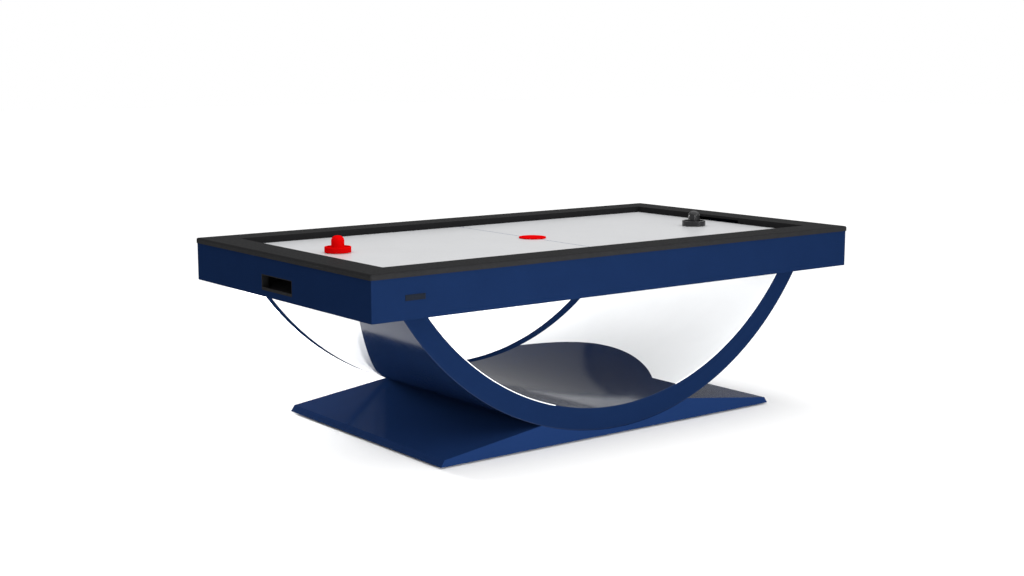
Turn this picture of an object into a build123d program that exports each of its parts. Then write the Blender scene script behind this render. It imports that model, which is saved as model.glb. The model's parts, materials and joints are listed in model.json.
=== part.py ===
from build123d import *
import math
import os

# Air hockey table on a half-moon arch and a wedge plinth.
# Millimetres, +Z up. Origin on the floor under the middle of the playfield.
# X runs along the table, -Y is the side that carries the badge.

# ---------------------------------------------------------------- cabinet
TABLE_H = 800.0            # floor to the top of the rails
CAB_L, CAB_W = 2550.0, 1390.0
APRON_T = 30.0
APRON_Z0, APRON_Z1 = 620.0, 778.0
RAIL_OVERHANG = 5.0        # rails stand out past the aprons
RAIL_W = 136.0             # apron face to the rail's inner edge
RAIL_CORNER_R = 10.0
RAIL_EDGE_R = 9.0
PLAY_Z = 771.5             # playing surface
PLAY_T = 18.0
PLAY_LAP = 24.0            # playfield hidden under the rails, each side
AIR_HOLE_R = 1.5
AIR_PITCH = 60.0
LINE_W, LINE_T = 5.0, 0.6  # inlaid centre line
BRACKET_LEG, BRACKET_T = 40.0, 3.0

PLAY_L = CAB_L - 2 * RAIL_W
PLAY_W = CAB_W - 2 * RAIL_W
IN_L = CAB_L - 2 * APRON_T     # inside the aprons
IN_W = CAB_W - 2 * APRON_T

# ---------------------------------------------------------------- plenum and underside
PLENUM_L, PLENUM_W = 2250.0, 1150.0
PLENUM_WALL = 20.0
PLENUM_FLOOR_Z0, PLENUM_FLOOR_Z1 = 710.0, 722.0
UNDER_Z0, UNDER_Z1 = 628.0, 640.0
HATCH_SIDE, HATCH_OPENING = 420.0, 380.0
SPACER_PITCH_X = 450.0

# ---------------------------------------------------------------- goals
GOAL_W = 300.0
GOAL_SLOT_Z = 788.0        # top of the slot under each end rail
GOAL_DROP_X = PLAY_L / 2 + 4.0
RETURN_W = 244.0           # opening in each end apron
RETURN_Z0, RETURN_Z1 = 646.0, 710.0
SHEET_T = 3.0

# ---------------------------------------------------------------- arch
ARCH_Z = 1310.0            # height of the arch's axis, which runs along Y
ARCH_R_OUT, ARCH_R_IN = 1280.0, 1187.0
ARCH_Y = 576.0             # half depth
REAR_BAND = 57.0           # blue band along the rear edge
FRONT_RING_T = 36.0
TONGUE = 18.0              # rebate of the rear ring that carries the skins
SKIN_T = 3.0
SKIN_Y0, SKIN_Y1 = -ARCH_Y, ARCH_Y - REAR_BAND
CORE_IN, CORE_OUT = ARCH_R_IN + SKIN_T, ARCH_R_OUT - SKIN_T
MID_RING_T = 18.0
WEB_T = 18.0
WEB_ANGLES = (12.0, 24.0, 36.0, 48.0)
ARM_X = 1021.0             # middle of each arm where it meets the cabinet
ARM_HEAD_H = 60.0
FOOT_BLOCK_X = 110.0
CHANNEL_W, CHANNEL_T = 100.0, 5.0
TROUGH_X = 333.0           # half length of the blue trough at its straight stretch
TROUGH_BULGE = 147.0       # how far its curved ends swell past that
TROUGH_BULGE_Y0 = -430.0
FAIRING_TOP_X, FAIRING_TOP_Y = 1078.0, -270.0
FAIRING_FOOT_X = 452.0

# ---------------------------------------------------------------- plinth
GLIDE_H, GLIDE_R = 8.0, 30.0
PLINTH_FOOT_L, PLINTH_TOP_L = 903.0, 886.0   # half lengths
PLINTH_FOOT_W, PLINTH_TOP_W = 584.0, 577.0   # half widths
PLINTH_BOARD_Z1 = 30.0
PLINTH_END_Z = 34.0
PLINTH_PEAK_X, PLINTH_PEAK_Z = 405.0, 95.8
FOOT_BOLT_X = 45.0
RAMP_INNER_X = 60.0

# ---------------------------------------------------------------- playing pieces
PUCK_R, PUCK_T = 60.0, 6.0
MALLET_R, MALLET_RIM_H, MALLET_H = 55.0, 23.5, 68.5
KNOB_R = 27.0
FELT_T = 1.5
AIR_GAP = 0.3              # pieces float this far above the surface
RED_XY = (-940.0, 92.0)
BLACK_XY = (912.0, -80.0)

# ---------------------------------------------------------------- fan
FAN_R = 90.0
FAN_Z0, FAN_Z1 = 664.0, 695.0
FAN_BOX = 250.0
FAN_BOX_Z0 = 646.0
INLET_R = 58.0
MOTOR_R = 42.0
SHAFT_R = 4.0
SHAFT_CLEARANCE = 0.05
BLADES = 9

# ---------------------------------------------------------------- switch and inlet
SWITCH_XY = (300.0, 600.0)
SOCKET_XY = (370.0, 600.0)
PIVOT_Z = UNDER_Z0 + 1.0
PIVOT_R = 1.2
ROCKER_TILT = 12.0
LEAD_R = 3.0
LEAD_HOLE_XZ = (60.0, 702.0)   # where the lead enters the fan housing

# ---------------------------------------------------------------- screws
SCREW_HEAD_R, SCREW_HEAD_H = 4.0, 2.5
SCREW_R, SCREW_LEN = 2.0, 14.0


def block(x0, x1, y0, y1, z0, z1):
    """Box given by its limits."""
    size = (x1 - x0, y1 - y0, z1 - z0)
    return Pos((x0 + x1) / 2, (y0 + y1) / 2, (z0 + z1) / 2) * Box(*size)


def rod(x, y, z0, z1, r):
    """Upright cylinder."""
    return Pos(x, y, (z0 + z1) / 2) * Cylinder(r, z1 - z0)


def prism(points, z0, z1):
    """Upright prism over a plan polygon."""
    face = make_face(Polyline(*points, close=True))
    return Pos(0, 0, z0) * extrude(face, amount=z1 - z0)


def drum(r, y0, y1):
    """Cylinder along Y about the arch's axis."""
    return Pos(0, (y0 + y1) / 2, ARCH_Z) * Rot(90, 0, 0) * Cylinder(r, y1 - y0)


def arch_shell(r_in, r_out, y0, y1):
    """Half-moon shell below the cabinet."""
    ring = drum(r_out, y0, y1) - drum(r_in, y0 - 1, y1 + 1)
    return ring & block(-r_out, r_out, y0 - 1, y1 + 1, 0, APRON_Z0)


def group(shapes):
    """Several separate solids in one node."""
    solids = [s for shape in shapes for s in shape.solids()]
    return Compound(children=solids)


def mirror_x(shape):
    return mirror(shape, Plane.YZ)


def hex_bolt(x, y, seat_z, length, r, head_h, up):
    """Hexagon bolt with its head against seat_z and its shank pointing up or down."""
    head = extrude(RegularPolygon(1.75 * r, 6), amount=head_h)
    if up:
        return rod(x, y, seat_z, seat_z + length, r) + Pos(x, y, seat_z - head_h) * head
    return rod(x, y, seat_z - length, seat_z, r) + Pos(x, y, seat_z) * head


def screw():
    """Pan-head wood screw, seated at the origin and pointing up."""
    return rod(0, 0, -SCREW_HEAD_H, 0, SCREW_HEAD_R) + rod(0, 0, 0, SCREW_LEN, SCREW_R)


def mitre(side):
    """Plan wedge that cuts one side out of a rectangular ring with 45 degree corners."""
    far_x, far_y = CAB_L / 2 + 60, CAB_W / 2 + 60
    run = far_y
    if side == "front":
        points = [(-far_x, -far_y), (far_x, -far_y), (far_x - run, 0), (run - far_x, 0)]
    elif side == "rear":
        points = [(-far_x, far_y), (far_x, far_y), (far_x - run, 0), (run - far_x, 0)]
    elif side == "left":
        points = [(-far_x, -far_y), (-far_x, far_y), (run - far_x, 0)]
    else:
        points = [(far_x, -far_y), (far_x, far_y), (far_x - run, 0)]
    return prism(points, 0, TABLE_H + 50)


# ---------------------------------------------------------------- aprons and rails

def apron_ring():
    outer = extrude(Rectangle(CAB_L, CAB_W), amount=APRON_Z1 - APRON_Z0)
    outer = fillet(outer.edges().filter_by(Axis.Z), 2.5)
    outer = chamfer(outer.faces().sort_by(Axis.Z)[0].edges(), 1.0)
    ring = Pos(0, 0, APRON_Z0) * outer - block(-IN_L / 2, IN_L / 2, -IN_W / 2, IN_W / 2, 0, TABLE_H)
    for sign in (-1, 1):
        x = sign * CAB_L / 2
        ring -= block(x - 40, x + 40, -RETURN_W / 2, RETURN_W / 2, RETURN_Z0, RETURN_Z1)
    return ring


def rail_ring():
    over = 2 * RAIL_OVERHANG
    height = TABLE_H - PLAY_Z
    outer = extrude(RectangleRounded(CAB_L + over, CAB_W + over, RAIL_CORNER_R), amount=height)
    outer = fillet(outer.faces().sort_by(Axis.Z)[-1].edges(), RAIL_EDGE_R)
    hole = extrude(Rectangle(PLAY_L, PLAY_W), amount=height)
    ring = outer - hole
    top = ring.faces().sort_by(Axis.Z)[-1]
    ring = fillet(top.inner_wires()[0].edges(), 3.0)
    ring = Pos(0, 0, PLAY_Z) * ring
    step = block(-CAB_L, CAB_L, -CAB_W, CAB_W, PLAY_Z - 1, APRON_Z1)
    step -= block(-IN_L / 2, IN_L / 2, -IN_W / 2, IN_W / 2, PLAY_Z - 2, APRON_Z1 + 1)
    ring -= step
    for sign in (-1, 1):
        x0, x1 = sorted((sign * (PLAY_L / 2 - 10), sign * (IN_L / 2 - 5)))
        ring -= block(x0, x1, -GOAL_W / 2, GOAL_W / 2, PLAY_Z - 1, GOAL_SLOT_Z)
    return ring


def bracket_places():
    """Turned locations on the aprons' inner faces, at the underside of the rails."""
    places = []
    for x in (-900, -300, 300, 900):
        places.append(Pos(x, -IN_W / 2, PLAY_Z) * Rot(0, 0, 90))
        places.append(Pos(x, IN_W / 2, PLAY_Z) * Rot(0, 0, -90))
    for y in (-400, 400):
        places.append(Pos(-IN_L / 2, y, PLAY_Z))
        places.append(Pos(IN_L / 2, y, PLAY_Z) * Rot(0, 0, 180))
    return places


def rail_brackets():
    """Angle brackets that tie the rails to the aprons."""
    half = BRACKET_LEG / 2
    angle = block(0, BRACKET_T, -half, half, -BRACKET_LEG, 0)
    angle += block(0, BRACKET_LEG, -half, half, -BRACKET_T, 0)
    return group([place * angle for place in bracket_places()])


# ---------------------------------------------------------------- playfield and plenum

def playfield():
    plan = Rectangle(PLAY_L + 2 * PLAY_LAP, PLAY_W + 2 * PLAY_LAP)
    count_x = 2 * int(PLAY_L / 2 / AIR_PITCH)
    count_y = 2 * int(PLAY_W / 2 / AIR_PITCH)
    plan -= GridLocations(AIR_PITCH, AIR_PITCH, count_x, count_y) * Circle(AIR_HOLE_R)
    panel = Pos(0, 0, PLAY_Z - PLAY_T) * extrude(plan, amount=PLAY_T)
    for sign in (-1, 1):
        x0, x1 = sorted((sign * GOAL_DROP_X, sign * CAB_L / 2))
        panel -= block(x0, x1, -GOAL_W / 2 - 10, GOAL_W / 2 + 10, PLAY_Z - PLAY_T - 1, PLAY_Z + 1)
    return panel - centre_line()


def centre_line():
    return block(-LINE_W / 2, LINE_W / 2, -PLAY_W / 2, PLAY_W / 2, PLAY_Z - LINE_T, PLAY_Z)


def plenum_walls():
    """Two long walls with two end walls between them."""
    z0, z1 = PLENUM_FLOOR_Z1, PLAY_Z - PLAY_T
    half_l, half_w = PLENUM_L / 2, PLENUM_W / 2
    in_l, in_w = half_l - PLENUM_WALL, half_w - PLENUM_WALL
    return group([
        block(-half_l, half_l, -half_w, -in_w, z0, z1),
        block(-half_l, half_l, in_w, half_w, z0, z1),
        block(-half_l, -in_l, -in_w, in_w, z0, z1),
        block(in_l, half_l, -in_w, in_w, z0, z1),
    ])


def plenum_floor():
    floor = block(-PLENUM_L / 2, PLENUM_L / 2, -PLENUM_W / 2, PLENUM_W / 2, PLENUM_FLOOR_Z0, PLENUM_FLOOR_Z1)
    return floor - rod(0, 0, PLENUM_FLOOR_Z0 - 1, PLENUM_FLOOR_Z1 + 1, FAN_R + 5)


def plenum_spacers():
    """Short blocks that hold the playfield flat and let air pass between them."""
    top = PLAY_Z - PLAY_T
    spots = [(i * SPACER_PITCH_X - SPACER_PITCH_X / 2, j * 300.0) for i in range(-1, 3) for j in (-1, 1)]
    spots += [(s * 1.5 * SPACER_PITCH_X, 0) for s in (-1, 1)]
    return group([block(x - 45, x + 45, y - 20, y + 20, PLENUM_FLOOR_Z1, top) for x, y in spots])


def underside_panel():
    panel = block(-IN_L / 2, IN_L / 2, -IN_W / 2, IN_W / 2, UNDER_Z0, UNDER_Z1)
    half = HATCH_OPENING / 2
    panel -= block(-half, half, -half, half, UNDER_Z0 - 1, UNDER_Z1 + 1)
    for x, y in arm_bolt_spots():
        panel -= rod(x, y, UNDER_Z0 - 1, UNDER_Z1 + 1, 6.5)
    panel -= Pos(*SWITCH_XY, UNDER_Z0 + 6) * Box(28, 22, 20)
    panel -= Pos(*SOCKET_XY, UNDER_Z0 + 6) * Box(28, 21, 20)
    return panel


def apron_battens():
    """Battens in the corner between the aprons and the underside panel."""
    side = 25.0
    long_x = 1080.0
    long_y = IN_W / 2
    battens = [block(-long_x, long_x, -long_y, side - long_y, UNDER_Z1, UNDER_Z1 + side),
               block(-long_x, long_x, long_y - side, long_y, UNDER_Z1, UNDER_Z1 + side)]
    for x0 in (-IN_L / 2, IN_L / 2 - side):
        for y0, y1 in ((-600, -180), (180, 600)):
            battens.append(block(x0, x0 + side, y0, y1, UNDER_Z1, UNDER_Z1 + side))
    return group(battens)


# ---------------------------------------------------------------- load path from arch to cabinet

def arm_bolt_spots():
    return [(s * ARM_X, y) for s in (-1, 1) for y in (-450, -150, 150, 450)]


def cross_channel():
    """Steel channel across the cabinet over the right arm."""
    x0, x1 = ARM_X - CHANNEL_W / 2, ARM_X + CHANNEL_W / 2
    body = block(x0, x1, -640, 640, UNDER_Z1, PLENUM_FLOOR_Z0)
    body -= block(x0 + CHANNEL_T, x1 - CHANNEL_T, -641, 641, UNDER_Z1 + CHANNEL_T, PLENUM_FLOOR_Z0 + 1)
    for x, y in arm_bolt_spots():
        if x > 0:
            body -= rod(x, y, UNDER_Z1 - 1, UNDER_Z1 + CHANNEL_T + 1, 6.5)
    return body


def long_beams():
    """Timber beams along the cabinet that carry the plenum floor."""
    end = ARM_X - CHANNEL_W / 2
    beams = [block(-end, end, y, y + 45, UNDER_Z1, PLENUM_FLOOR_Z0) for y in (-503, 458)]
    lead_hole = Pos(SWITCH_XY[0] - 5, 480, 675) * Rot(90, 0, 0) * Cylinder(8, 60)
    return group([beams[0], beams[1] - lead_hole])


def mount_plate():
    """Steel plate between the right arm's top and the underside panel."""
    plate = block(ARM_X - 58, ARM_X + 58, -560, 560, APRON_Z0, UNDER_Z0)
    for x, y in arm_bolt_spots():
        if x > 0:
            plate -= rod(x, y, APRON_Z0 - 1, UNDER_Z0 + 1, 6.5)
    return plate


def arm_bolts():
    head_seat = UNDER_Z1 + CHANNEL_T
    return group([hex_bolt(x, y, head_seat, 72, 6.0, 8.0, up=False) for x, y in arm_bolt_spots() if x > 0])


# ---------------------------------------------------------------- arch

def front_ring():
    return arch_shell(CORE_IN, CORE_OUT, -ARCH_Y, FRONT_RING_T - ARCH_Y)


def rear_ring():
    face = arch_shell(ARCH_R_IN, ARCH_R_OUT, SKIN_Y1, ARCH_Y)
    return face + arch_shell(CORE_IN, CORE_OUT, SKIN_Y1 - TONGUE, SKIN_Y1)


def mid_ring():
    return arch_shell(CORE_IN, CORE_OUT, -MID_RING_T / 2, MID_RING_T / 2)


def core_spans():
    """The two stretches along Y between the rings."""
    return ((FRONT_RING_T - ARCH_Y, -MID_RING_T / 2), (MID_RING_T / 2, SKIN_Y1 - TONGUE))


def webs():
    """Radial webs between the skins of the right arm."""
    depth = CORE_OUT - CORE_IN - 0.3
    middle = (CORE_OUT + CORE_IN) / 2
    boards = []
    for angle in WEB_ANGLES:
        for y0, y1 in core_spans():
            board = Pos(0, (y0 + y1) / 2, -middle) * Box(WEB_T, y1 - y0, depth)
            boards.append(Pos(0, 0, ARCH_Z) * Rot(0, -angle, 0) * board)
    return group(boards)


def arm_head():
    """Solid blocks at the top of the right arm that take the bolts."""
    blocks = []
    for y0, y1 in core_spans():
        core = arch_shell(CORE_IN, CORE_OUT, y0, y1)
        core = core & block(600, 1300, y0, y1, APRON_Z0 - ARM_HEAD_H, APRON_Z0)
        for x, y in arm_bolt_spots():
            if x > 0:
                core -= rod(x, y, APRON_Z0 - 50, APRON_Z0 + 1, 6.0)
        blocks.append(core)
    return group(blocks)


def foot_bolt_spots():
    return [(s * FOOT_BOLT_X, y) for s in (-1, 1) for y in (-420, -150, 150, 420)]


def foot_blocks():
    """Solid blocks at the bottom of the arch that take the plinth bolts."""
    blocks = []
    for y0, y1 in core_spans():
        core = arch_shell(CORE_IN, CORE_OUT, y0, y1)
        core = core & block(-FOOT_BLOCK_X, FOOT_BLOCK_X, y0, y1, 0, 200)
        for x, y in foot_bolt_spots():
            core -= rod(x, y, 0, 80, 6.0)
        blocks.append(core)
    return group(blocks)


def trough_plan():
    """Plan outline of the blue trough: straight at the front, swelling behind."""
    x, y0, y1, bulge_y = TROUGH_X, SKIN_Y0 - 1, SKIN_Y1 + 1, (TROUGH_BULGE_Y0 + SKIN_Y1) / 2
    tip = x + TROUGH_BULGE
    outline = [
        Line((x, y0), (x, TROUGH_BULGE_Y0)),
        ThreePointArc((x, TROUGH_BULGE_Y0), (tip, bulge_y), (x, y1)),
        Line((x, y1), (-x, y1)),
        ThreePointArc((-x, y1), (-tip, bulge_y), (-x, TROUGH_BULGE_Y0)),
        Line((-x, TROUGH_BULGE_Y0), (-x, y0)),
        Line((-x, y0), (x, y0)),
    ]
    return extrude(make_face(Wire(outline)), amount=APRON_Z0 + 10)


def inner_skins():
    """Blue trough liner and the white liner of the right arm."""
    skin = arch_shell(ARCH_R_IN, CORE_IN, SKIN_Y0, SKIN_Y1)
    plan = trough_plan()
    right = skin & block(0, 1300, -ARCH_Y, ARCH_Y, 0, TABLE_H)
    return skin & plan, right - plan


def outer_skins():
    """Blue fairing and white panel of the right arm's outside."""
    skin = arch_shell(CORE_OUT, ARCH_R_OUT, SKIN_Y0, SKIN_Y1)
    skin = skin & block(0, 1300, -ARCH_Y, ARCH_Y, 0, TABLE_H)
    slope = (SKIN_Y1 - FAIRING_TOP_Y) / (FAIRING_TOP_X - FAIRING_FOOT_X)
    far_x = 1300.0
    far_y = FAIRING_TOP_Y - (far_x - FAIRING_TOP_X) * slope
    rear_side = [(FAIRING_FOOT_X, SKIN_Y1), (far_x, far_y), (far_x, ARCH_Y), (FAIRING_FOOT_X, ARCH_Y)]
    behind = prism(rear_side, 0, TABLE_H)
    white = skin & behind
    blue = skin - behind
    for x, y in foot_bolt_spots():
        if x > 0:
            blue -= rod(x, y, 0, 60, 6.5)
    return blue, white


# ---------------------------------------------------------------- plinth

def plinth_body():
    side = [(-PLINTH_FOOT_L, GLIDE_H), (-PLINTH_TOP_L, PLINTH_END_Z), (-PLINTH_PEAK_X, PLINTH_PEAK_Z),
            (PLINTH_PEAK_X, PLINTH_PEAK_Z), (PLINTH_TOP_L, PLINTH_END_Z), (PLINTH_FOOT_L, GLIDE_H)]
    end = [(-PLINTH_FOOT_W, GLIDE_H), (-PLINTH_TOP_W, PLINTH_PEAK_Z),
           (PLINTH_TOP_W, PLINTH_PEAK_Z), (PLINTH_FOOT_W, GLIDE_H)]
    along_y = extrude(Plane.XZ * make_face(Polyline(*side, close=True)), amount=PLINTH_FOOT_W, both=True)
    along_x = extrude(Plane.YZ * make_face(Polyline(*end, close=True)), amount=PLINTH_FOOT_L, both=True)
    return along_y & along_x


def plinth_board():
    board = plinth_body() & block(-1000, 1000, -700, 700, 0, PLINTH_BOARD_Z1)
    for x, y in foot_bolt_spots():
        board -= rod(x, y, 0, PLINTH_BOARD_Z1 + 1, 6.5)
        board -= rod(x, y, 0, GLIDE_H + 10, 14.0)   # counterbore for the bolt head
    return board


def ramp():
    """Hollow wedge on the right, from the plinth's end up to the arch."""
    wedge = plinth_body() & block(RAMP_INNER_X, 1000, -700, 700, PLINTH_BOARD_Z1, 200)
    wedge -= drum(ARCH_R_OUT + 0.2, -700, 700)
    pocket = [(430, PLINTH_BOARD_Z1 - 1), (430, 75), (760, 34), (760, PLINTH_BOARD_Z1 - 1)]
    hollow = extrude(Plane.XZ * make_face(Polyline(*pocket, close=True)), amount=540, both=True)
    return wedge - hollow


def ramp_ribs():
    pocket = [(431, PLINTH_BOARD_Z1), (431, 74.8), (740, 36.4), (740, PLINTH_BOARD_Z1)]
    rib = extrude(Plane.XZ * make_face(Polyline(*pocket, close=True)), amount=9, both=True)
    return group([Pos(0, y, 0) * rib for y in (-360, -120, 120, 360)])


def foot_bolts():
    return group([hex_bolt(x, y, GLIDE_H + 10, 60, 6.0, 7.5, up=True) for x, y in foot_bolt_spots()])


def glides():
    spots = [(x, y) for x in (-820, -280, 280, 820) for y in (-510, 510)]
    return group([rod(x, y, 0, GLIDE_H, GLIDE_R) for x, y in spots])


# ---------------------------------------------------------------- goals and puck return

def return_liner():
    """Black sleeve in the right end apron's opening, with a lip that holds the puck."""
    x0, x1 = IN_L / 2, CAB_L / 2
    half = RETURN_W / 2
    sleeve = block(x0, x1, -half, half, RETURN_Z0, RETURN_Z1)
    sleeve -= block(x0 - 1, x1 + 1, SHEET_T - half, half - SHEET_T, RETURN_Z0 + SHEET_T, RETURN_Z1 - SHEET_T)
    return sleeve + block(x1 - 4, x1, -half, half, RETURN_Z0, RETURN_Z0 + SHEET_T + 9)


def puck_chute():
    """Folded sheet under the right goal: back wall, sloping floor and two cheeks."""
    x0, x1 = PLENUM_L / 2, IN_L / 2
    floor_in, floor_out = 700.0, RETURN_Z0
    t = SHEET_T
    profile = [(x0, floor_in), (x0, PLAY_Z - PLAY_T), (x0 + t, PLAY_Z - PLAY_T), (x0 + t, floor_in + t),
               (x1, floor_out + t), (x1, floor_out)]
    half = GOAL_W / 2 + 7
    body = extrude(Plane.XZ * make_face(Polyline(*profile, close=True)), amount=half, both=True)
    cheek = [(x0, floor_in), (x0, PLAY_Z - PLAY_T), (GOAL_DROP_X + 0.5, PLAY_Z - PLAY_T),
             (GOAL_DROP_X + 0.5, PLAY_Z - 1), (x1, PLAY_Z - 1), (x1, floor_out)]
    side = extrude(Plane.XZ * make_face(Polyline(*cheek, close=True)), amount=t)
    return body + Pos(0, -half + t, 0) * side + Pos(0, half, 0) * side


# ---------------------------------------------------------------- fan

def service_hatch():
    half = HATCH_SIDE / 2
    hatch = block(-half, half, -half, half, APRON_Z0, UNDER_Z0)
    return hatch - rod(0, 0, 0, TABLE_H, 70)


def wood_screws():
    """Screws of the hatch, the fan housing, the motor bracket and the rail brackets."""
    hatch = [Pos(x, y, APRON_Z0) for x in (-200, 0, 200) for y in (-200, 0, 200) if x or y]
    flange_z = PLENUM_FLOOR_Z0 - SHEET_T
    housing = [Rot(0, 0, 90 * i) * Pos(FAN_BOX / 2 + 8, 0, flange_z) for i in range(4)]
    motor = [Rot(0, 0, 45 + 90 * i) * Pos(105, 0, flange_z) for i in range(4)]
    into_rail = [place * Pos(22, 0, -BRACKET_T) for place in bracket_places()]
    into_apron = [place * Pos(BRACKET_T, 0, -22) * Rot(0, -90, 0) for place in bracket_places()]
    return group([place * screw() for place in hatch + housing + motor + into_rail + into_apron])


def fan_guard():
    """Concentric rings on four spokes under the hatch's inlet."""
    z0, z1 = APRON_Z0 + 1, APRON_Z0 + 4
    guard = rod(0, 0, z0, z1, 70) - rod(0, 0, z0 - 1, z1 + 1, 66)
    for r in (18, 34, 50):
        guard += rod(0, 0, z0, z1, r + 1.2) - rod(0, 0, z0 - 1, z1 + 1, r - 1.2)
    for turn in (0, 90):
        guard += Pos(0, 0, (z0 + z1) / 2) * Rot(0, 0, turn + 45) * Box(134, 3, z1 - z0)
    return guard


def fan_housing():
    """Open-topped box with a flange, and a bell mouth that leads into the impeller."""
    half, t = FAN_BOX / 2, SHEET_T
    top = PLENUM_FLOOR_Z0
    box = block(-half, half, -half, half, FAN_BOX_Z0, top)
    box += block(-half - 16, half + 16, -half - 16, half + 16, top - t, top)
    box -= block(t - half, half - t, t - half, half - t, FAN_BOX_Z0 + t, top + 1)
    box -= rod(0, 0, 0, FAN_BOX_Z0 + 5, INLET_R + 2)
    lead_x, lead_z = LEAD_HOLE_XZ
    box -= Pos(lead_x, half, lead_z) * Rot(90, 0, 0) * Cylinder(LEAD_R + 0.5, 20)
    section = [(INLET_R, FAN_BOX_Z0 - 6), (INLET_R + 9, FAN_BOX_Z0 - 3), (INLET_R + 9, FAN_BOX_Z0 + 1),
               (INLET_R + 4, FAN_BOX_Z0 + 1), (INLET_R - 1, FAN_Z0 - 1.5), (INLET_R - 4, FAN_Z0 - 1.5),
               (INLET_R - 4, FAN_BOX_Z0)]
    return box + revolve(Plane.XZ * make_face(Polyline(*section, close=True)), Axis.Z)


def impeller():
    plate = rod(0, 0, FAN_Z1 - 3, FAN_Z1, FAN_R)
    shroud = rod(0, 0, FAN_Z0, FAN_Z0 + 2, FAN_R) - rod(0, 0, FAN_Z0 - 1, FAN_Z0 + 3, INLET_R)
    wheel = plate + shroud + rod(0, 0, FAN_Z0 + 8, FAN_Z1, 14)
    height = FAN_Z1 - FAN_Z0 - 3
    for i in range(BLADES):
        blade = Pos(74, 0, FAN_Z0 + 1 + height / 2) * Rot(0, 0, 50) * Box(34, 2.5, height)
        wheel += Rot(0, 0, i * 360 / BLADES) * blade
    wheel = wheel & rod(0, 0, FAN_Z0, FAN_Z1, FAN_R)
    return wheel - rod(0, 0, 0, TABLE_H, SHAFT_R)


def motor_body():
    motor = rod(0, 0, 699, 742, MOTOR_R)
    motor = fillet(motor.edges().filter_by(GeomType.CIRCLE), 3)
    return motor - rod(0, 0, 690, 715, SHAFT_R + SHAFT_CLEARANCE)


def motor_bracket():
    z0, z1 = PLENUM_FLOOR_Z0 - 3, PLENUM_FLOOR_Z0
    bracket = rod(0, 0, z0, z1, MOTOR_R + 8)
    for turn in (0, 90):
        bracket += Pos(0, 0, (z0 + z1) / 2) * Rot(0, 0, turn + 45) * Box(226, 16, z1 - z0)
    return bracket - rod(0, 0, 0, TABLE_H, MOTOR_R)


# ---------------------------------------------------------------- switch, inlet, lead

def pivot(r, half):
    return Pos(*SWITCH_XY, PIVOT_Z) * Rot(90, 0, 0) * Cylinder(r, 2 * half)


def switch_body():
    x, y = SWITCH_XY
    body = block(x - 17, x + 17, y - 14, y + 14, UNDER_Z0 - 3, UNDER_Z0)
    body += block(x - 13.5, x + 13.5, y - 10.5, y + 10.5, UNDER_Z0, UNDER_Z0 + 26)
    body -= block(x - 12, x + 12, y - 8, y + 8, UNDER_Z0 - 4, UNDER_Z0 + 12)
    return body - pivot(PIVOT_R + 0.05, 9.4)


def rocker():
    """Dished rocker on two stub pivots, tipped to its off side."""
    pad = [(-10.5, -0.8), (-10.5, -3.8), (0, -1.6), (10.5, -3.8), (10.5, -0.8), (5, 3), (-5, 3)]
    body = extrude(Plane.XZ * make_face(Polyline(*pad, close=True)), amount=7.5, both=True)
    return Pos(*SWITCH_XY, PIVOT_Z) * Rot(0, -ROCKER_TILT, 0) * body + pivot(PIVOT_R, 9.2)


def power_inlet():
    x, y = SOCKET_XY
    body = block(x - 25, x + 25, y - 14, y + 14, UNDER_Z0 - 3, UNDER_Z0)
    body += block(x - 13.5, x + 13.5, y - 10, y + 10, UNDER_Z0, UNDER_Z0 + 24)
    return body - block(x - 11.5, x + 11.5, y - 8, y + 8, UNDER_Z0 - 4, UNDER_Z0 + 18)


def inlet_pins():
    x, y = SOCKET_XY
    pins = [block(x + a - 1, x + a + 1, y + b - 2, y + b + 2, UNDER_Z0 + 2, UNDER_Z0 + 18)
            for a, b in ((-7, 2), (0, -2), (7, 2))]
    return group(pins)


def tube(points, radii, r):
    """Round lead along straight runs joined by tangent arcs."""
    path = FilletPolyline(*points, radius=radii)
    start = Plane(origin=path @ 0, z_dir=path % 0)
    return sweep(start * Circle(r), path=path)


def mains_leads():
    """Inlet to switch, and switch through the rear beam and the housing to the motor."""
    y = SWITCH_XY[1]
    inlet_x, feed_x, motor_x = SOCKET_XY[0] - 5, SWITCH_XY[0] + 5, SWITCH_XY[0] - 5
    top = UNDER_Z0 + 55
    supply = tube([(inlet_x, y, UNDER_Z0 + 24), (inlet_x, y, top), (feed_x, y, top),
                   (feed_x, y, UNDER_Z0 + 26)], [18, 18], LEAD_R)
    hole_x, hole_z = LEAD_HOLE_XZ
    reach = MOTOR_R / math.hypot(hole_x, 80)   # brings the last run up to the motor's side
    run = tube([(motor_x, y, UNDER_Z0 + 26), (motor_x, y, 675), (motor_x, 300, 675),
                (hole_x, 190, hole_z), (hole_x, 80, hole_z), (reach * hole_x, reach * 80, hole_z)],
               [18, 60, 35, 20], LEAD_R)
    return group([supply, run])


# ---------------------------------------------------------------- playing pieces

def puck():
    disc = rod(0, 0, PLAY_Z + AIR_GAP, PLAY_Z + AIR_GAP + PUCK_T, PUCK_R)
    return fillet(disc.edges().filter_by(GeomType.CIRCLE), 1.2)


def mallet():
    """Rimmed base with a shallow well and a domed grip in the middle."""
    r, rim, grip = MALLET_R, MALLET_RIM_H, KNOB_R
    base = rod(0, 0, 0, rim, r)
    base = fillet(base.edges().sort_by(Axis.Z)[-1], 3.0)
    base = chamfer(base.edges().sort_by(Axis.Z)[0], 1.0)
    well = rod(0, 0, rim - 6, rim + 1, r - 8) - rod(0, 0, 0, TABLE_H, grip)
    knob = rod(0, 0, rim - 8, MALLET_H, grip)
    knob = fillet(knob.edges().sort_by(Axis.Z)[-1], 0.8 * grip)
    return base - well + knob


def mallet_felt():
    return Pos(0, 0, -FELT_T / 2) * Cylinder(MALLET_R - 4, FELT_T)


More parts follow.
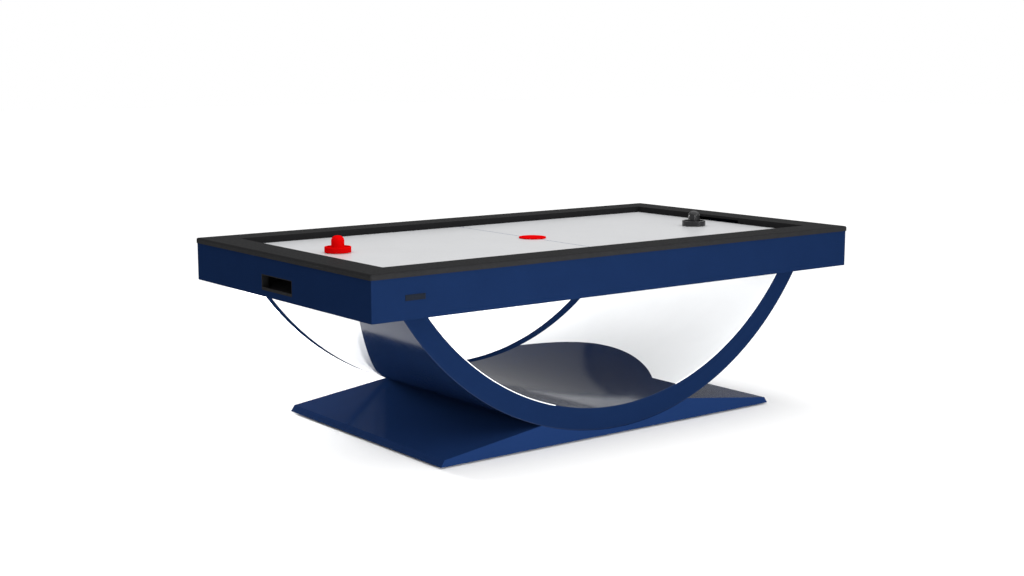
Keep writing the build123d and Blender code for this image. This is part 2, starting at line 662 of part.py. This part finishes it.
def badge():
    """Blank plate on the long side."""
    y = -CAB_W / 2
    plate = block(-1131, -1043, y - 2, y, 691, 713)
    return chamfer(plate.faces().sort_by(Axis.Y)[0].edges(), 0.8)


# ---------------------------------------------------------------- assembly

def both(shape):
    """A right-hand piece and its mirror image in one node."""
    return group([shape, mirror_x(shape)])


def build_nodes():
    nodes = {}
    screws = wood_screws()
    aprons = apron_ring() - screws
    rails = rail_ring() - screws
    for side in ("front", "rear", "left", "right"):
        nodes[f"apron_{side}"] = aprons & mitre(side)
        nodes[f"rail_{side}"] = rails & mitre(side)
    nodes["rail_brackets"] = rail_brackets() - screws
    nodes["wood_screws"] = screws
    nodes["badge_plate"] = badge()

    nodes["playfield"] = playfield()
    nodes["centre_line"] = centre_line()
    nodes["plenum_walls"] = plenum_walls()
    nodes["plenum_floor"] = plenum_floor() - screws
    nodes["plenum_spacers"] = plenum_spacers()
    nodes["underside_panel"] = underside_panel() - screws
    nodes["service_hatch"] = service_hatch() - screws
    nodes["apron_battens"] = apron_battens()
    nodes["long_beams"] = long_beams()
    nodes["cross_channels"] = both(cross_channel())
    nodes["mount_plates"] = both(mount_plate())
    nodes["arm_bolts"] = both(arm_bolts())

    nodes["arch_front_ring"] = front_ring()
    nodes["arch_middle_ring"] = mid_ring()
    nodes["arch_rear_ring"] = rear_ring()
    nodes["arch_webs"] = both(webs())
    nodes["arch_blocks"] = group([arm_head(), mirror_x(arm_head()), foot_blocks()])
    trough, white_liner = inner_skins()
    fairing, white_panel = outer_skins()
    nodes["trough_liner"] = trough
    sided = {"inner_panel": white_liner, "outer_panel": white_panel, "fairing": fairing,
             "ramp": ramp(), "puck_chute": puck_chute()}
    for name, shape in sided.items():
        nodes[f"{name}_right"] = shape
        nodes[f"{name}_left"] = mirror_x(shape)
    nodes["return_liners"] = both(return_liner())

    nodes["plinth_board"] = plinth_board()
    nodes["ramp_ribs"] = both(ramp_ribs())
    nodes["foot_bolts"] = foot_bolts()
    nodes["floor_glides"] = glides()

    nodes["fan_guard"] = fan_guard()
    nodes["fan_housing"] = fan_housing() - screws
    nodes["fan_impeller"] = impeller()
    nodes["motor_shaft"] = rod(0, 0, FAN_Z0 + 6, 712, SHAFT_R)
    nodes["fan_motor"] = motor_body()
    nodes["motor_bracket"] = motor_bracket() - screws
    nodes["switch_body"] = switch_body()
    nodes["switch_rocker"] = rocker()
    nodes["power_inlet"] = power_inlet()
    nodes["inlet_pins"] = inlet_pins()
    nodes["mains_leads"] = mains_leads()

    nodes["puck"] = puck()
    base_z = PLAY_Z + AIR_GAP + FELT_T
    for colour, (x, y) in (("red", RED_XY), ("black", BLACK_XY)):
        nodes[f"mallet_{colour}"] = Pos(x, y, base_z) * mallet()
        nodes[f"felt_{colour}"] = Pos(x, y, base_z) * mallet_felt()
    return nodes


os.makedirs("parts", exist_ok=True)
for name, shape in build_nodes().items():
    export_step(shape, f"parts/{name}.step")
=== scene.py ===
import json
import math

import bpy
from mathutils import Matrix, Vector

# Looks of the air hockey table. Metres and radians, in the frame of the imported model.

# ---------------------------------------------------------------- camera
LENS_MM = 52.08
SENSOR_MM = 36.0
CAMERA_AT = (-4.0305, -5.1075, 1.5498)
YAW = 0.6542                       # from +Y towards +X
PITCH = -0.1528                    # above the horizon

# ---------------------------------------------------------------- colours, sRGB
BLUE = (16, 32, 62)                # the lights are strong, so the paints are deep
# painted light: the base's blue is lighter than the cabinet's blue, to offset the shade the cabinet
# casts on the base's ramps
PLINTH_BLUE_WITH_PAINTED_LIGHT = (22, 42, 80)
RAIL_BLACK = (35, 35, 36)
FIELD = (216, 217, 219)
LINE = (66, 88, 124)
PANEL_WHITE = (248, 250, 252)
RED = (222, 8, 10)
MALLET_BLACK = (34, 34, 36)
BOARD_GREY = (92, 90, 88)
PLASTIC_BLACK = (30, 30, 31)
STEEL = (168, 170, 173)
MOTOR_GREY = (178, 180, 183)
RUBBER_BLACK = (26, 26, 26)
BRASS = (196, 160, 86)
FELT = (226, 226, 220)
BADGE = (24, 28, 36)
BACKGROUND = (255, 255, 255)

# ---------------------------------------------------------------- surface detail
NOISE_DETAIL = 4.0
RAMP_LOW, RAMP_HIGH = 0.3, 0.7     # the part of the noise's range that a ramp spreads out
EVEN = (1.0, 1.0, 1.0)
BRUSHED = (0.08, 1.0, 1.0)         # drawn out along X
GRAIN = (0.12, 1.0, 1.0)
MOULDED_SPECULAR = 0.01

# ---------------------------------------------------------------- light
SKY_SEEN = 1.0                     # the backdrop as the camera sees it
SKY_LIGHT = 0.45                   # the same sky as a light
TOP_STRENGTH = 2.05
TOP_SPREAD = math.radians(110)
TOP_TILT = (math.radians(8), math.radians(6), 0)
UNDER_ARCH = (0.8, 0, 0.42)
LAMPS = [                          # name, place, aim, size, power in watts
    ("front", (2.2, -6.0, 2.4), (0.2, 0, 0.5), (3.5, 2.5), 80.0),
    ("low_front", (-1.0, -4.2, 0.5), UNDER_ARCH, (2.0, 0.8), 140.0),
    ("low_rear", (-0.75, 3.6, 0.45), UNDER_ARCH, (1.0, 0.8), 390.0),
]
FLOOR_HALF = 40.0
FLOOR_ROUGHNESS = 0.9

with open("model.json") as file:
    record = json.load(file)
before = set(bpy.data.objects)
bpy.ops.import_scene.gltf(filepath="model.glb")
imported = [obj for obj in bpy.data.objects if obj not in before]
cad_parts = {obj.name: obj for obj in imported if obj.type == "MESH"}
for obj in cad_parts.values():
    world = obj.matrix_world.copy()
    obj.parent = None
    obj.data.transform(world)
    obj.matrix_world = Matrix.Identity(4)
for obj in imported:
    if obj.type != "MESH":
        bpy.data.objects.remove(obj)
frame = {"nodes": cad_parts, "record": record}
scene = bpy.context.scene
nodes = frame["nodes"]


def linear(colour):
    """sRGB bytes to a linear RGBA colour."""
    values = [c / 255 for c in colour]
    return [v / 12.92 if v <= 0.04045 else ((v + 0.055) / 1.055) ** 2.4 for v in values] + [1.0]


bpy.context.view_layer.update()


# ---------------------------------------------------------------- materials

class Recipe:
    """A Principled material whose detail is built from object-space noise."""

    def __init__(self, name, colour, roughness, specular=0.5, metallic=0.0):
        self.material = bpy.data.materials.new(name)
        self.material.use_nodes = True
        self.tree = self.material.node_tree
        self.shader = self.tree.nodes["Principled BSDF"]
        self.coords = self.add("ShaderNodeTexCoord").outputs["Object"]
        self.colour = linear(colour)
        self.roughness = roughness
        self.set("Base Color", self.colour)
        self.set("Roughness", roughness)
        self.set("Specular IOR Level", specular)
        self.set("Metallic", metallic)

    def add(self, kind):
        return self.tree.nodes.new(kind)

    def set(self, socket, value):
        self.shader.inputs[socket].default_value = value

    def link(self, output, target):
        self.tree.links.new(output, target)

    def noise(self, scale, stretch):
        mapping = self.add("ShaderNodeMapping")
        mapping.inputs["Scale"].default_value = stretch
        texture = self.add("ShaderNodeTexNoise")
        texture.inputs["Scale"].default_value = scale
        texture.inputs["Detail"].default_value = NOISE_DETAIL
        self.link(self.coords, mapping.inputs["Vector"])
        self.link(mapping.outputs["Vector"], texture.inputs["Vector"])
        return texture.outputs["Fac"]

    def ramp(self, factor, dark, light):
        ramp = self.add("ShaderNodeValToRGB")
        low, high = ramp.color_ramp.elements
        low.position = RAMP_LOW
        low.color = dark
        high.position = RAMP_HIGH
        high.color = light
        self.link(factor, ramp.inputs["Fac"])
        return ramp.outputs["Color"]

    def mottle(self, scale, amount, stretch=EVEN):
        """Slight colour change around the base colour."""
        dark = [c * (1 - amount) for c in self.colour[:3]] + [1.0]
        light = [min(1.0, c * (1 + amount)) for c in self.colour[:3]] + [1.0]
        factor = self.noise(scale, stretch)
        self.link(self.ramp(factor, dark, light), self.shader.inputs["Base Color"])

    def worn(self, scale, spread, stretch=EVEN):
        """Roughness that wanders around its value."""
        smooth = max(0.0, self.roughness - spread)
        rough = self.roughness + spread
        factor = self.noise(scale, stretch)
        grey = self.ramp(factor, [smooth] * 3 + [1.0], [rough] * 3 + [1.0])
        self.link(grey, self.shader.inputs["Roughness"])

    def bump(self, scale, distance, strength, stretch=EVEN):
        """Fine relief."""
        bump = self.add("ShaderNodeBump")
        bump.inputs["Strength"].default_value = strength
        bump.inputs["Distance"].default_value = distance
        self.link(self.noise(scale, stretch), bump.inputs["Height"])
        self.link(bump.outputs["Normal"], self.shader.inputs["Normal"])


def lacquer(name, colour, roughness, specular):
    """Sprayed paint with a faint orange peel."""
    recipe = Recipe(name, colour, roughness, specular)
    recipe.mottle(scale=7, amount=0.03)
    recipe.worn(scale=18, spread=0.03)
    recipe.bump(scale=900, distance=0.0001, strength=0.08)
    return recipe.material


def gloss(name, colour, roughness, specular):
    """Smooth sheet or polished plastic."""
    recipe = Recipe(name, colour, roughness, specular)
    recipe.mottle(scale=5, amount=0.015)
    recipe.worn(scale=25, spread=0.02)
    recipe.bump(scale=60, distance=0.0002, strength=0.03)
    return recipe.material


def moulded(name, colour, roughness):
    """Fine-grained moulded plastic."""
    recipe = Recipe(name, colour, roughness, MOULDED_SPECULAR)
    recipe.mottle(scale=40, amount=0.06)
    recipe.worn(scale=90, spread=0.05)
    recipe.bump(scale=1400, distance=0.0002, strength=0.2)
    return recipe.material


def metal(name, colour, roughness):
    """Brushed along X."""
    recipe = Recipe(name, colour, roughness, metallic=1.0)
    recipe.mottle(scale=400, amount=0.06, stretch=BRUSHED)
    recipe.worn(scale=500, spread=0.08, stretch=BRUSHED)
    recipe.bump(scale=700, distance=0.0001, strength=0.15, stretch=BRUSHED)
    return recipe.material


def board(name, colour):
    """Stained plywood with its grain along X."""
    recipe = Recipe(name, colour, roughness=0.75, specular=0.2)
    recipe.mottle(scale=55, amount=0.22, stretch=GRAIN)
    recipe.worn(scale=80, spread=0.08, stretch=GRAIN)
    recipe.bump(scale=120, distance=0.0006, strength=0.3, stretch=GRAIN)
    return recipe.material


def cloth(name, colour):
    """Felt."""
    recipe = Recipe(name, colour, roughness=0.95, specular=0.1)
    recipe.mottle(scale=900, amount=0.12)
    recipe.worn(scale=300, spread=0.03)
    recipe.bump(scale=2500, distance=0.0005, strength=0.6)
    return recipe.material


MATERIALS = {
    "blue_lacquer": lacquer("blue_lacquer", BLUE, roughness=0.42, specular=0.0),
    "black_rail": moulded("black_rail", RAIL_BLACK, roughness=0.5),
    "white_playfield": gloss("white_playfield", FIELD, roughness=0.3, specular=0.35),
    "raw_board": board("raw_board", BOARD_GREY),
    "blue_skin": gloss("blue_skin", BLUE, roughness=0.12, specular=0.2),
    "white_panel": gloss("white_panel", PANEL_WHITE, roughness=0.1, specular=0.4),
    # painted light: the base gets the lightened blue, which offsets the cabinet's shade on its ramps
    "plinth_blue": gloss("plinth_blue", PLINTH_BLUE_WITH_PAINTED_LIGHT, roughness=0.16, specular=0.004),
    "black_plastic": moulded("black_plastic", PLASTIC_BLACK, roughness=0.5),
    "line_blue": lacquer("line_blue", LINE, roughness=0.4, specular=0.3),
    "red_plastic": gloss("red_plastic", RED, roughness=0.4, specular=0.0),
    "black_gloss": gloss("black_gloss", MALLET_BLACK, roughness=0.25, specular=0.4),
    "steel": metal("steel", STEEL, roughness=0.35),
    "motor_metal": metal("motor_metal", MOTOR_GREY, roughness=0.4),
    "rubber": moulded("rubber", RUBBER_BLACK, roughness=0.8),
    "brass": metal("brass", BRASS, roughness=0.3),
    "felt": cloth("felt", FELT),
    "badge_metal": moulded("badge_metal", BADGE, roughness=0.35),
}


def paint():
    slots = {part["node"]: part["material_slot"] for part in frame["record"]["subparts"]}
    for name, node in nodes.items():
        node.data.materials.clear()
        node.data.materials.append(MATERIALS[slots[name]])


# ---------------------------------------------------------------- stage

def make_camera():
    data = bpy.data.cameras.new("camera")
    data.lens = LENS_MM
    data.sensor_width = SENSOR_MM
    camera = bpy.data.objects.new("camera", data)
    scene.collection.objects.link(camera)
    look = Vector((math.sin(YAW) * math.cos(PITCH), math.cos(YAW) * math.cos(PITCH), math.sin(PITCH)))
    camera.location = CAMERA_AT
    camera.rotation_mode = "QUATERNION"
    camera.rotation_quaternion = look.to_track_quat("-Z", "Y")
    scene.camera = camera


def make_floor():
    half = FLOOR_HALF
    mesh = bpy.data.meshes.new("floor")
    corner_points = [(-half, -half, 0), (half, -half, 0), (half, half, 0), (-half, half, 0)]
    mesh.from_pydata(corner_points, [], [(0, 1, 2, 3)])
    floor = bpy.data.objects.new("floor", mesh)
    scene.collection.objects.link(floor)
    mesh.materials.append(Recipe("floor", BACKGROUND, FLOOR_ROUGHNESS, specular=0.0).material)


def area_light(name, at, target, size, power):
    data = bpy.data.lights.new(name, "AREA")
    data.shape = "RECTANGLE"
    data.size, data.size_y = size
    data.energy = power
    light = bpy.data.objects.new(name, data)
    scene.collection.objects.link(light)
    light.visible_camera = False
    light.location = at
    light.rotation_mode = "QUATERNION"
    light.rotation_quaternion = (Vector(target) - Vector(at)).to_track_quat("-Z", "Y")


def make_sky():
    """White to the eye, and dimmer as a light so that the end apron stays in shade."""
    world = bpy.data.worlds.new("world")
    world.use_nodes = True
    scene.world = world
    tree = world.node_tree
    background = tree.nodes["Background"]
    background.inputs["Color"].default_value = linear(BACKGROUND)
    path = tree.nodes.new("ShaderNodeLightPath")
    strength = tree.nodes.new("ShaderNodeMapRange")
    strength.inputs["To Min"].default_value = SKY_LIGHT
    strength.inputs["To Max"].default_value = SKY_SEEN
    tree.links.new(path.outputs["Is Camera Ray"], strength.inputs["Value"])
    tree.links.new(strength.outputs["Result"], background.inputs["Strength"])


def make_top_light():
    """A wide sun, nearly overhead."""
    data = bpy.data.lights.new("top", "SUN")
    data.energy = TOP_STRENGTH
    data.angle = TOP_SPREAD
    top = bpy.data.objects.new("top", data)
    scene.collection.objects.link(top)
    top.rotation_euler = TOP_TILT


make_camera()
paint()
make_floor()
make_sky()
make_top_light()
for lamp in LAMPS:
    area_light(*lamp)
scene.view_settings.view_transform = "Standard"
